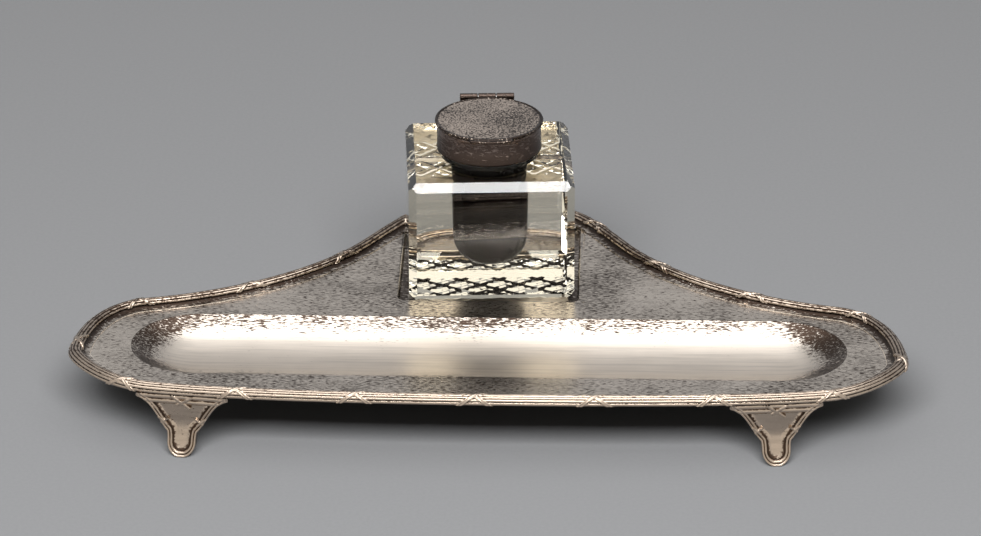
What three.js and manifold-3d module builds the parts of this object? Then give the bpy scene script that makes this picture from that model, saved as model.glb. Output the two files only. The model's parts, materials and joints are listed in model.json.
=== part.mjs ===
// A silver desk inkstand: a shaped tray on four bracket feet, with a reeded border, a long pen
// trough and a square recess that holds a loose square glass bottle with a hinged silver lid.
// Millimetres. +X runs along the tray, -Y is its front, +Z is up; z = 0 is the surface it stands on
// and the origin is under the middle of the tray.
import * as THREE from "three";
import { mergeVertices } from "three/addons/utils/BufferGeometryUtils.js";
import Module from "manifold-3d";

const wasm = await Module();
wasm.setup();

// ---- driving dimensions ----

// The tray's edge, right half, from the middle of the front to the middle of the back:
// one cubic Bezier a line, and the left half is its mirror image.
const EDGE = [
  [[0, -71.5], [48, -71.5], [82.5, -69.6], [101.5, -65.8]],
  [[101.5, -65.8], [115.5, -63], [127, -46], [127, -40]],
  [[127, -40], [127, -32], [124.4, -6.8], [106, -2.8]],
  [[106, -2.8], [83.2, 2.2], [56.8, 18], [43, 41]],
  [[43, 41], [28.5, 65.5], [27, 71.5], [0, 71.5]],
];
const EDGE_STEPS = 128;

const FLAT_Z = 19; // top of the tray's flat
const SHEET = 1; // thickness of the tray's sheet
const FLANGE_Z = 19.9; // top of the flat flange that the border is soldered to
const FLANGE_WIDTH = 4.1;
const CAVETTO_WIDTH = 2.2; // the hollow moulding between the flange and the flat

const BORDER_WIDTH = 3.9;
const BORDER_TOP_Z = 21.4;
const BORDER_REEDS = 3;
const SOLDER = 0.1; // gap left for solder between two pieces of one body

const TROUGH = { y: -31.5, halfLength: 108.4, halfWidth: 20.5, depth: 5.2 };

const RECESS = { x: -1.2, half: 27.8, corner: 2.5, depth: 1.5 };

const FOOT = { halfTop: 14, height: FLANGE_Z - SHEET - SOLDER, thick: 1.8 };
const SHOULDER = { drop: 1.3, softness: 4.6, slope: 0.9 }; // a foot's top corners
const ANKLE = { half: 4.7, z: 7.2, flare: 2.9, rise: 2.8, narrowing: 0.7 }; // where it narrows to its toe
const TOE = { radius: 4.4, soleHalf: 1.7 };
const KICK = { reach: 3.9, fromZ: 11, power: 1.6 }; // how the toe curves forward
const FOOT_INSET = 2.2; // from the tray's edge in to the back of a foot
// Each foot's share of the way round the edge, from the middle of the front. They are set by hand, so
// the front pair is not quite even.
const FOOT_PLACES = {
  foot_front_right: 0.1352,
  foot_rear_right: 0.415,
  foot_rear_left: 0.585,
  foot_front_left: 0.8591,
};

const BOTTLE = { x: -1.7, y: 29, turn: THREE.MathUtils.degToRad(3.8) };
const GLASS = { half: 25.6, chamfer: 2.4, bevel: 2.4, baseBevel: 1.2, bottom: 17.6, top: 57.1 };
const NECK = { footRadius: 15.2, footTop: 59, radius: 13.8, top: 66.2, bore: 11 };
const WELL = { radius: 12, floorRadius: 11.6, floorZ: 24, cornerRadius: 9.5, shoulderZ: 55 };
const INK = { level: 36, clearance: 0.3 };

const COLLAR = { radius: 16.35, wall: 0.8, bottom: 59.2, top: 67.4, mouth: 12 };
const LID = { radius: 16.85, bottom: 67.6, top: 68.5 };
const BEZEL = { radius: 11.6, wall: 0.6, bottom: 66.4 };
const THUMB = { halfWidth: 6.5, reach: 1.1, bottom: 67.5, top: 68.4, gap: 0.2, taper: 0.86 };

const HINGE = { y: 18.2, z: 68, radius: 1.2, bore: 0.6, pin: 0.5 };
const KNUCKLES = { end: 8.5, middleEnd: 2.75, gap: 0.2 };
const LEAF = { thick: 0.9, bottom: 63.5, top: 67.1, webBottom: 66.1 };
const WEB_START = 10; // y, inside the collar, from which the knuckles' webs run back

const ROUND = 40; // sides of a large turned piece
const SMALL_ROUND = 16; // sides of a small one

// ---- materials ----

function metal(color, roughness) {
  return new THREE.MeshStandardMaterial({ color, roughness, metalness: 1 });
}

const silver = () => metal("#9c9388", 0.34);
const borderSilver = () => metal("#94867a", 0.36);
const darkSilver = () => metal("#5a504b", 0.42);
const lidSilver = () => metal("#8d857c", 0.45);
const steel = () => metal("#8a8a8c", 0.35);
const glass = () => new THREE.MeshStandardMaterial({ color: "#efead2", roughness: 0.05, metalness: 0 });
const ink = () => new THREE.MeshStandardMaterial({ color: "#141016", roughness: 0.25, metalness: 0 });
const plaster = () => new THREE.MeshStandardMaterial({ color: "#cfc6ae", roughness: 0.9, metalness: 0 });

// ---- solids ----

function toSolid(geometry) {
  const bare = geometry.clone();
  bare.deleteAttribute("normal");
  bare.deleteAttribute("uv");
  const merged = mergeVertices(bare, 1e-4);
  const triVerts = new Uint32Array(merged.index.array);
  const vertProperties = merged.attributes.position.array;
  return new wasm.Manifold(new wasm.Mesh({ numProp: 3, vertProperties, triVerts }));
}

function toGeometry(solid) {
  const mesh = solid.getMesh();
  const geometry = new THREE.BufferGeometry();
  const positions = new THREE.BufferAttribute(new Float32Array(mesh.vertProperties), 3);
  geometry.setAttribute("position", positions);
  geometry.setIndex(new THREE.BufferAttribute(new Uint32Array(mesh.triVerts), 1));
  const flat = geometry.toNonIndexed();
  flat.computeVertexNormals();
  return flat;
}

function piece(name, geometry, material) {
  const mesh = new THREE.Mesh(geometry, material);
  mesh.name = name;
  return mesh;
}

// A closed solid through rings of equal length. Each ring runs anticlockwise seen from above, and
// the rings go from the bottom cap out and over to the top cap.
function loft(rings) {
  const count = rings[0].length;
  const positions = rings.flat().flatMap((p) => [p.x, p.y, p.z]);
  const index = [];
  for (let r = 0; r + 1 < rings.length; r++) {
    for (let i = 0; i < count; i++) {
      const a = r * count + i;
      const b = r * count + ((i + 1) % count);
      index.push(a, b, b + count, a, b + count, a + count);
    }
  }
  const last = (rings.length - 1) * count;
  for (const [a, b, c] of THREE.ShapeUtils.triangulateShape(rings[0], [])) index.push(c, b, a);
  for (const [a, b, c] of THREE.ShapeUtils.triangulateShape(rings.at(-1), [])) {
    index.push(last + a, last + b, last + c);
  }
  const geometry = new THREE.BufferGeometry();
  geometry.setAttribute("position", new THREE.Float32BufferAttribute(positions, 3));
  geometry.setIndex(index);
  return geometry;
}

// A solid of revolution about Z from [radius, z] pairs that go up the outside.
function turned(profile, sides = ROUND) {
  const points = profile.map(([radius, z]) => new THREE.Vector2(radius, z));
  return new THREE.LatheGeometry(points, sides).rotateX(Math.PI / 2);
}

function turnedRing(inner, outer, bottom, top, sides = ROUND) {
  const profile = [[inner, bottom], [outer, bottom], [outer, top], [inner, top], [inner, bottom]];
  return turned(profile, sides);
}

function cylinderAlongX(radius, fromX, toX, sides = SMALL_ROUND) {
  const shape = new THREE.CylinderGeometry(radius, radius, toX - fromX, sides);
  return shape.rotateZ(Math.PI / 2).translate((fromX + toX) / 2, HINGE.y, HINGE.z);
}

function boxBetween(low, high) {
  const size = high.map((value, i) => value - low[i]);
  const middle = high.map((value, i) => (value + low[i]) / 2);
  return new THREE.BoxGeometry(...size).translate(...middle);
}

// ---- the tray's edge ----

function edgeCurve() {
  const path = new THREE.CurvePath();
  const vector = ([x, y]) => new THREE.Vector2(x, y);
  const mirrored = ([x, y]) => new THREE.Vector2(-x, y);
  for (const points of EDGE) path.add(new THREE.CubicBezierCurve(...points.map(vector)));
  for (const points of EDGE.toReversed()) {
    path.add(new THREE.CubicBezierCurve(...points.toReversed().map(mirrored)));
  }
  return path;
}

const edge = edgeCurve();

// The point a share of the way round the edge, moved inwards, at a height.
function edgePoint(share, inset, z) {
  const around = ((share % 1) + 1) % 1;
  const point = edge.getPoint(around);
  const tangent = edge.getTangent(around);
  return new THREE.Vector3(point.x - inset * tangent.y, point.y + inset * tangent.x, z);
}

function edgeRing(inset, z) {
  return Array.from({ length: EDGE_STEPS }, (_, i) => edgePoint(i / EDGE_STEPS, inset, z));
}

// ---- tray ----

function stadiumRing(halfStraight, radius, centreY, z) {
  const ring = [];
  const sides = SMALL_ROUND;
  for (const [side, start] of [[1, -Math.PI / 2], [-1, Math.PI / 2]]) {
    for (let i = 0; i <= sides; i++) {
      const angle = start + (Math.PI * i) / sides;
      const x = side * halfStraight + radius * Math.cos(angle);
      ring.push(new THREE.Vector3(x, centreY + radius * Math.sin(angle), z));
    }
  }
  return ring;
}

// The pen trough's bowl, a shallow circular hollow, grown outwards by the sheet's thickness for its
// underside. The solid goes on upwards to topZ.
function troughBowl(grow, topZ) {
  const { y, halfLength, halfWidth, depth } = TROUGH;
  const curve = (halfWidth ** 2 + depth ** 2) / (2 * depth) + grow;
  const centreZ = FLAT_Z - depth + curve - grow;
  const edgeAngle = Math.asin((halfWidth + grow) / curve);
  const straight = halfLength - halfWidth;
  const rings = [];
  const steps = 6;
  for (let i = 1; i <= steps; i++) {
    const angle = (edgeAngle * i) / steps;
    rings.push(stadiumRing(straight, curve * Math.sin(angle), y, centreZ - curve * Math.cos(angle)));
  }
  rings.push(stadiumRing(straight, halfWidth + grow, y, topZ));
  return loft(rings);
}

function roundedSquareRing(half, corner, z) {
  const ring = [];
  const cornerSteps = 4;
  for (let quarter = 0; quarter < 4; quarter++) {
    const turn = (quarter * Math.PI) / 2;
    const centre = new THREE.Vector2(half - corner, half - corner).rotateAround(new THREE.Vector2(), turn);
    for (let i = 0; i <= cornerSteps; i++) {
      const angle = turn + (Math.PI / 2) * (i / cornerSteps);
      const x = centre.x + corner * Math.cos(angle);
      ring.push(new THREE.Vector3(RECESS.x + x, BOTTLE.y + centre.y + corner * Math.sin(angle), z));
    }
  }
  return ring;
}

function recessBlock(grow, bottomZ, topZ) {
  const heights = [bottomZ, topZ];
  return loft(heights.map((z) => roundedSquareRing(RECESS.half + grow, RECESS.corner + grow, z)));
}

// The tray's sheet without its hollows: flat, cavetto and flange.
function trayBlank() {
  const hollowEnd = FLANGE_WIDTH + CAVETTO_WIDTH;
  const rise = FLANGE_Z - FLAT_Z;
  const lipRound = 0.25;
  const rings = [
    edgeRing(hollowEnd + SHEET / 4, FLAT_Z - SHEET),
    edgeRing(FLANGE_WIDTH + SHEET / 4, FLANGE_Z - SHEET),
    edgeRing(lipRound, FLANGE_Z - SHEET),
    edgeRing(0, FLANGE_Z - SHEET + lipRound),
    edgeRing(0, FLANGE_Z - lipRound),
    edgeRing(lipRound, FLANGE_Z),
    edgeRing(FLANGE_WIDTH, FLANGE_Z),
  ];
  const hollowSteps = 4;
  for (let i = 1; i <= hollowSteps; i++) {
    const share = i / hollowSteps;
    const drop = rise * (1 - (1 - share) ** 2);
    rings.push(edgeRing(FLANGE_WIDTH + CAVETTO_WIDTH * share, FLANGE_Z - drop));
  }
  return loft(rings);
}

function trayPlate() {
  const above = FLAT_Z + 1;
  const recessFloor = FLAT_Z - RECESS.depth;
  const solid = toSolid(trayBlank())
    .add(toSolid(troughBowl(SHEET, FLAT_Z - SHEET / 2)))
    .add(toSolid(recessBlock(SHEET, recessFloor - SHEET, FLAT_Z - SHEET / 2)))
    .subtract(toSolid(troughBowl(0, above)))
    .subtract(toSolid(recessBlock(0, recessFloor, above)));
  return piece("tray_plate", toGeometry(solid), silver());
}

// ---- border ----

// [inset, z] pairs of the border wire's section: flat below, one half-round for each reed above.
function borderSection() {
  const bottom = FLANGE_Z + SOLDER;
  const reedRadius = BORDER_WIDTH / BORDER_REEDS / 2;
  const springing = BORDER_TOP_Z - reedRadius;
  const section = [[0, bottom]];
  const reedSteps = 3;
  for (let reed = 0; reed < BORDER_REEDS; reed++) {
    const middle = reedRadius * (2 * reed + 1);
    for (let i = reed ? 1 : 0; i <= reedSteps; i++) {
      const angle = Math.PI * (1 - i / reedSteps);
      section.push([middle + reedRadius * Math.cos(angle), springing + reedRadius * Math.sin(angle)]);
    }
  }
  section.push([BORDER_WIDTH, bottom]);
  return section;
}

// A length of border from one share of the edge to another, with flat sawn ends.
function border(name, from, to) {
  const sawCut = 0.0002;
  const steps = Math.round((to - from) * EDGE_STEPS);
  const section = borderSection();
  const count = section.length;
  const positions = [];
  const index = [];
  for (let i = 0; i <= steps; i++) {
    const share = from + sawCut + ((to - from - 2 * sawCut) * i) / steps;
    for (const [inset, z] of section) positions.push(...edgePoint(share, inset, z).toArray());
  }
  for (let i = 0; i < steps; i++) {
    for (let j = 0; j < count; j++) {
      const a = i * count + j;
      const b = i * count + ((j + 1) % count);
      index.push(a, a + count, b, b, a + count, b + count);
    }
  }
  const face = section.map(([inset, z]) => new THREE.Vector2(inset, z));
  for (const [a, b, c] of THREE.ShapeUtils.triangulateShape(face, [])) {
    index.push(a, c, b);
    index.push(steps * count + a, steps * count + b, steps * count + c);
  }
  const geometry = new THREE.BufferGeometry();
  geometry.setAttribute("position", new THREE.Float32BufferAttribute(positions, 3));
  geometry.setIndex(index);
  const solid = toSolid(geometry);
  return piece(name, toGeometry(solid), borderSilver());
}

// ---- feet ----

function footOutline() {
  const { halfTop, height } = FOOT;
  const { radius, soleHalf } = TOE;
  const toeZ = Math.sqrt(radius ** 2 - soleHalf ** 2);
  const soleAngle = Math.asin(soleHalf / radius);
  const shoulderZ = height - SHOULDER.drop;
  const shoulder = [halfTop - SHOULDER.softness, shoulderZ - SHOULDER.slope];
  const ankle = [ANKLE.half + ANKLE.flare, ANKLE.z + ANKLE.rise];
  const neckZ = ANKLE.z - ANKLE.narrowing;
  const shape = new THREE.Shape();
  shape.moveTo(-halfTop, height);
  shape.lineTo(-halfTop, shoulderZ);
  shape.bezierCurveTo(-shoulder[0], shoulder[1], -ankle[0], ankle[1], -ANKLE.half, ANKLE.z);
  shape.quadraticCurveTo(-radius, neckZ, -radius, toeZ);
  shape.absarc(0, toeZ, radius, Math.PI, 1.5 * Math.PI - soleAngle, false);
  shape.lineTo(soleHalf, 0);
  shape.absarc(0, toeZ, radius, 1.5 * Math.PI + soleAngle, 2 * Math.PI, false);
  shape.quadraticCurveTo(radius, neckZ, ANKLE.half, ANKLE.z);
  shape.bezierCurveTo(ankle[0], ankle[1], shoulder[0], shoulder[1], halfTop, shoulderZ);
  shape.lineTo(halfTop, height);
  return shape;
}

// A bracket foot: a shaped plate that hangs from the rim and kicks forward at its toe.
function foot(name, share) {
  const curveSegments = 8;
  const options = { depth: FOOT.thick, bevelEnabled: false, curveSegments };
  const geometry = new THREE.ExtrudeGeometry(footOutline(), options).rotateX(Math.PI / 2);
  const position = geometry.attributes.position;
  for (let i = 0; i < position.count; i++) {
    const below = Math.max(0, 1 - position.getZ(i) / KICK.fromZ);
    position.setY(i, position.getY(i) - KICK.reach * below ** KICK.power);
  }
  const mesh = piece(name, geometry, borderSilver());
  const tangent = edge.getTangent(share);
  mesh.position.copy(edgePoint(share, FOOT_INSET, 0));
  mesh.rotation.z = Math.atan2(tangent.y, tangent.x);
  return mesh;
}

function feet() {
  return Object.entries(FOOT_PLACES).map(([name, share]) => foot(name, share));
}

// ---- bottle ----

function squareRing(half, z) {
  const corners = [[-half, -half], [half, -half], [half, half], [-half, half]];
  return corners.map(([x, y]) => new THREE.Vector3(x, y, z));
}

// A square block with a bevelled base and top, whose four upright corners are cut off flat.
function glassBlock() {
  const { half, chamfer, bevel, baseBevel, bottom, top } = GLASS;
  const square = loft([
    squareRing(half - baseBevel, bottom),
    squareRing(half, bottom + baseBevel),
    squareRing(half, top - bevel),
    squareRing(half - bevel, top),
  ]);
  const cornerReach = Math.SQRT1_2 * (2 * half - chamfer);
  const corners = loft([squareRing(cornerReach, bottom), squareRing(cornerReach, top)]);
  return toSolid(square).intersect(toSolid(corners.rotateZ(Math.PI / 4)));
}

// The well's radius at a height above its rounded floor: it widens a little upwards.
function wellRadius(z) {
  const { radius, floorRadius, floorZ, cornerRadius, shoulderZ } = WELL;
  const start = floorZ + cornerRadius;
  return floorRadius + (radius - floorRadius) * ((z - start) / (shoulderZ - start));
}

// [radius, z] pairs from the middle of the well's floor up its wall, held back by a clearance.
function wellProfile(clearance, topZ) {
  const { floorRadius, floorZ, cornerRadius } = WELL;
  const profile = [[0, floorZ + clearance]];
  const flatRadius = floorRadius - cornerRadius;
  const cornerSteps = 6;
  for (let i = 0; i <= cornerSteps; i++) {
    const angle = (Math.PI / 2) * (i / cornerSteps);
    const reach = cornerRadius - clearance;
    profile.push([flatRadius + reach * Math.sin(angle), floorZ + cornerRadius - reach * Math.cos(angle)]);
  }
  profile.push([wellRadius(topZ) - clearance, topZ]);
  return profile;
}

function glassBottle() {
  const inside = GLASS.top - 1;
  const above = NECK.top + 1;
  const neck = [[0, inside], [NECK.footRadius, inside], [NECK.footRadius, NECK.footTop]];
  neck.push([NECK.radius, NECK.footTop], [NECK.radius, NECK.top], [0, NECK.top]);
  const well = wellProfile(0, WELL.shoulderZ);
  well.push([NECK.bore, GLASS.top], [NECK.bore, above], [0, above]);
  const solid = glassBlock().add(toSolid(turned(neck))).subtract(toSolid(turned(well)));
  return piece("glass_bottle", toGeometry(solid), glass());
}

function inkPool() {
  const profile = wellProfile(INK.clearance, INK.level);
  profile.push([0, INK.level]);
  return piece("ink", turned(profile, SMALL_ROUND), ink());
}

function neckPlaster() {
  const gap = 0.25;
  const inner = NECK.radius + gap;
  const outer = COLLAR.radius - COLLAR.wall - gap;
  return piece("neck_plaster", turnedRing(inner, outer, NECK.footTop + 2 * gap, NECK.top), plaster());
}

function collar() {
  const { radius, wall, bottom, top, mouth } = COLLAR;
  const profile = [
    [radius - wall, bottom], [radius, bottom], [radius, top], [mouth, top],
    [mouth, top - wall], [radius - wall, top - wall], [radius - wall, bottom],
  ];
  return piece("collar", turned(profile), darkSilver());
}

// ---- hinge ----

function barrel(from, to) {
  return toSolid(cylinderAlongX(HINGE.radius, from, to));
}

function pinBore() {
  return toSolid(cylinderAlongX(HINGE.bore, -KNUCKLES.end - 1, KNUCKLES.end + 1));
}

// A tall cylinder on the bottle's axis that trims what would reach inside a radius.
function core(radius) {
  return toSolid(turned([[0, 0], [radius, 0], [radius, 2 * HINGE.z], [0, 2 * HINGE.z]]));
}

// One of the collar's two knuckles: a tube on a web and a leaf that hugs the collar.
function collarKnuckle(name, from, to) {
  const innerRadius = COLLAR.radius + SOLDER;
  const outerRadius = COLLAR.radius + LEAF.thick;
  const leafRing = toSolid(turnedRing(innerRadius, outerRadius, LEAF.bottom, LEAF.top));
  const slab = toSolid(boxBetween([from, 0, LEAF.bottom], [to, HINGE.y, LEAF.top]));
  const web = toSolid(boxBetween([from, WEB_START, LEAF.webBottom], [to, HINGE.y, LEAF.top]));
  const metalPart = slab.intersect(leafRing).add(web).add(barrel(from, to));
  const solid = metalPart.subtract(core(innerRadius)).subtract(pinBore());
  return piece(name, toGeometry(solid), darkSilver());
}

function hingePin() {
  return piece("hinge_pin", cylinderAlongX(HINGE.pin, -KNUCKLES.end, KNUCKLES.end), steel());
}

function lidKnuckle() {
  const end = KNUCKLES.middleEnd;
  const tab = toSolid(boxBetween([-end, WEB_START, LID.bottom + SOLDER], [end, HINGE.y, LID.top]));
  const solid = tab.subtract(core(LID.radius + SOLDER)).add(barrel(-end, end)).subtract(pinBore());
  return piece("lid_knuckle", toGeometry(solid), darkSilver());
}

// ---- lid ----

function lidDisc() {
  const edgeRound = 0.2;
  const { radius, bottom, top } = LID;
  const profile = [
    [0, bottom], [radius, bottom], [radius, top - edgeRound], [radius - edgeRound, top], [0, top],
  ];
  return piece("lid_disc", turned(profile), lidSilver());
}

function lidBezel() {
  const ring = turnedRing(BEZEL.radius - BEZEL.wall, BEZEL.radius, BEZEL.bottom, LID.bottom - SOLDER);
  return piece("lid_bezel", ring, darkSilver());
}

// A thin lip, curved with the lid's edge, at the front.
function thumbPiece() {
  const inner = LID.radius + THUMB.gap;
  const outer = LID.radius + THUMB.reach;
  const half = Math.asin(THUMB.halfWidth / outer);
  const innerHalf = half * THUMB.taper;
  const front = -Math.PI / 2;
  const shape = new THREE.Shape();
  shape.absarc(0, 0, outer, front - half, front + half, false);
  shape.absarc(0, 0, inner, front + innerHalf, front - innerHalf, true);
  const options = { depth: THUMB.top - THUMB.bottom, bevelEnabled: false, curveSegments: 10 };
  const geometry = new THREE.ExtrudeGeometry(shape, options).translate(0, 0, THUMB.bottom);
  return piece("thumb_piece", geometry, lidSilver());
}

// ---- assembly ----

const bottle = new THREE.Group();
bottle.position.set(BOTTLE.x, BOTTLE.y, 0);
bottle.rotation.z = BOTTLE.turn;
bottle.add(glassBottle(), inkPool(), neckPlaster(), collar());
const innerEnd = KNUCKLES.middleEnd + KNUCKLES.gap;
bottle.add(collarKnuckle("collar_knuckle_left", -KNUCKLES.end, -innerEnd));
bottle.add(collarKnuckle("collar_knuckle_right", innerEnd, KNUCKLES.end));
bottle.add(hingePin(), lidDisc(), lidBezel(), lidKnuckle(), thumbPiece());

const group = new THREE.Group();
group.add(trayPlate(), ...feet(), bottle);
const frontEnd = 0.2; // shares of the way round the edge where the border's lengths meet
const backStart = 0.43;
group.add(border("border_front", -frontEnd, frontEnd));
group.add(border("border_right", frontEnd, backStart));
group.add(border("border_back", backStart, 1 - backStart));
group.add(border("border_left", 1 - backStart, 1 - frontEnd));

export default group;
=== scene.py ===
import json
import math

import bmesh
import bpy
import numpy as np
from mathutils import Matrix, Vector
from mathutils.geometry import tessellate_polygon


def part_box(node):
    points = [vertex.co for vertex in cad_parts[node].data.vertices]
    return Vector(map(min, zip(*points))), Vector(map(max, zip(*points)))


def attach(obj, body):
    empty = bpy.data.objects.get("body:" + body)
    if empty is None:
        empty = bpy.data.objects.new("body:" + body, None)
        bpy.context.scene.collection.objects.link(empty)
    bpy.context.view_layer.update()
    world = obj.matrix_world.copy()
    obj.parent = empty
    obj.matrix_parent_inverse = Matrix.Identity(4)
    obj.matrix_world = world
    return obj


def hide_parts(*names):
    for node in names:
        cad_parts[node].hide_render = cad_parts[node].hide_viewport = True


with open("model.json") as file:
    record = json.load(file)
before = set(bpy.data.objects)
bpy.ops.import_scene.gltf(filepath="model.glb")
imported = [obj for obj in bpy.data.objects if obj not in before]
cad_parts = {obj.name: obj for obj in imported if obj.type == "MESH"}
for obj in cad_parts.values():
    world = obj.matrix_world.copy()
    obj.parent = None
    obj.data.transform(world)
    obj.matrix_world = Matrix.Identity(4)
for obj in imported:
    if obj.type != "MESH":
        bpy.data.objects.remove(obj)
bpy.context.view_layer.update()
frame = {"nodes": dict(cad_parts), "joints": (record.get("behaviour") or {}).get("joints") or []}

# A silver desk inkstand with a cut glass bottle. Shapes are worked out in millimetres, and build()
# turns them into metres. +X runs along the tray, -Y is its front and +Z is up.
MM = 0.001


def box_mm(node):
    """A CAD node's lowest and highest corners in millimetres."""
    return [np.array(corner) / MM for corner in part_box(node)]


def joint(name):
    return next(j for j in frame["joints"] if j["name"] == name)


# ---- sizes, from the frame where it has them ----

CAVETTO_DROP = 0.9
FLANGE_Z = box_mm("tray_plate")[1][2]
FLAT_Z = FLANGE_Z - CAVETTO_DROP
SHEET = 0.95

COLLAR_LOW, COLLAR_HIGH = box_mm("collar")
COLLAR_RADIUS = (COLLAR_HIGH - COLLAR_LOW)[0] / 2
BOTTLE_X, BOTTLE_Y = (COLLAR_LOW + COLLAR_HIGH)[:2] / 2
HINGE_AXIS = joint("lid_hinge")["axis"]
BOTTLE_TURN = math.atan2(-HINGE_AXIS[1], -HINGE_AXIS[0])
GLASS_LOW, GLASS_HIGH = box_mm("glass_bottle")
LID_LOW, LID_HIGH = box_mm("lid_disc")
LID_RADIUS = (LID_HIGH - LID_LOW)[0] / 2
BEZEL_LOW, BEZEL_HIGH = box_mm("lid_bezel")
THUMB_LOW, THUMB_HIGH = box_mm("thumb_piece")

# The square block of glass without its neck: half its width, its top and how far its corners are cut.
GLASS_HALF = 25.6
GLASS_TOP = 57.1
GLASS_CUT = 2.4

# The tray's edge, right half, from the middle of the front to the middle of the back:
# one cubic Bezier a line. The left half is its mirror image.
EDGE = [
    [(0, -71.5), (48, -71.5), (82.5, -69.6), (101.5, -65.8)],
    [(101.5, -65.8), (115.5, -63), (127, -46), (127, -40)],
    [(127, -40), (127, -32), (124.4, -6.8), (106, -2.8)],
    [(106, -2.8), (83.2, 2.2), (56.8, 18), (43, 41)],
    [(43, 41), (28.5, 65.5), (27, 71.5), (0, 71.5)],
]

TROUGH_Y = -31.5
TROUGH_HALF_LENGTH = 108.4
TROUGH_HALF_WIDTH = 20.5
TROUGH_DEPTH = 5.2
RECESS_X = -1.2
RECESS_HALF = 27.8
FLAT_MARGIN = 0.3

# Shares of the way round the edge, from the middle of the front.
BORDER_ENDS = {"front": (-0.2, 0.2), "right": (0.2, 0.43), "back": (0.43, 0.57), "left": (0.57, 0.8)}
FOOT_PLACES = {"front_right": 0.1352, "rear_right": 0.415, "rear_left": 0.585, "front_left": 0.8591}

HINGE_Y = 18.2
HINGE_Z = joint("lid_hinge")["pos_m"][2] / MM
BARREL_RADIUS = 1.2
KNUCKLE_END = 8.5
MIDDLE_END = 2.75


# ---- mesh helpers ----

def build(name, vertices, faces, body, material, smooth_angle=35, grime=None):
    """A mesh object from millimetre vertices that rides on a body.

    grime, one number a vertex, is how much more tarnished than the rest it is, and below 0 how much cleaner.
    """
    mesh = bpy.data.meshes.new(name)
    mesh.from_pydata((np.asarray(vertices, float) * MM).tolist(), [], [list(face) for face in faces])
    if grime is not None:
        layer = mesh.attributes.new("grime", "FLOAT", "POINT")
        layer.data.foreach_set("value", np.asarray(grime, np.float32).ravel())
    obj = bpy.data.objects.new(name, mesh)
    bpy.context.scene.collection.objects.link(obj)
    tidy(mesh, smooth_angle)
    mesh.materials.append(material)
    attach(obj, body)
    return obj


def stands_for(node):
    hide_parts(node)


def tidy(mesh, smooth_angle):
    """Joins doubled points, faces everything outwards and marks edges sharper than an angle."""
    bm = bmesh.new()
    bm.from_mesh(mesh)
    bmesh.ops.remove_doubles(bm, verts=bm.verts, dist=2e-6)
    bmesh.ops.dissolve_degenerate(bm, edges=bm.edges, dist=1e-6)
    bmesh.ops.recalc_face_normals(bm, faces=bm.faces)
    limit = math.radians(smooth_angle)
    for edge in bm.edges:
        edge.smooth = len(edge.link_faces) == 2 and edge.calc_face_angle(0) < limit
    for face in bm.faces:
        face.smooth = True
    bm.to_mesh(mesh)
    bm.free()


def to_bottle(points):
    """Points about the bottle's own upright axis, turned and moved to where it stands."""
    c, s = math.cos(BOTTLE_TURN), math.sin(BOTTLE_TURN)
    x, y, z = np.asarray(points, float).T
    return np.stack([BOTTLE_X + c * x - s * y, BOTTLE_Y + s * x + c * y, z], 1)


def grid_faces(rows, columns, closed_columns=False):
    faces = []
    for r in range(rows - 1):
        for c in range(columns if closed_columns else columns - 1):
            c2 = (c + 1) % columns
            faces.append((r * columns + c, r * columns + c2, (r + 1) * columns + c2, (r + 1) * columns + c))
    return faces


def shifted(faces, by):
    return [tuple(by + i for i in face) for face in faces]


def lathe(profile, sides=96):
    """Vertices and faces of [radius, z] pairs turned about Z."""
    angles = np.arange(sides) * 2 * math.pi / sides
    circle = np.stack([np.cos(angles), np.sin(angles)], 1)
    vertices = [(*(radius * xy), z) for radius, z in profile for xy in circle]
    return vertices, grid_faces(len(profile), sides, closed_columns=True)


def along_x(vertices):
    """A lathed shape laid along X on the hinge's axis."""
    return [(z, HINGE_Y + y, HINGE_Z + x) for x, y, z in vertices]


def arc(centre, radius, start, end, steps):
    """Points on a circle in a plane, angles in degrees."""
    angles = np.radians(np.linspace(start, end, steps))
    return [(centre[0] + radius * math.cos(a), centre[1] + radius * math.sin(a)) for a in angles]


def reeds(across, count):
    """A row of rounded ridges over a width of 1."""
    fullness = 0.7
    return np.abs(np.sin(math.pi * count * across)) ** fullness


def fade(value, start, length):
    """0 up to a start, then a straight climb to 1 over a length."""
    return np.clip((value - start) / length, 0, 1)


# ---- materials ----

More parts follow.
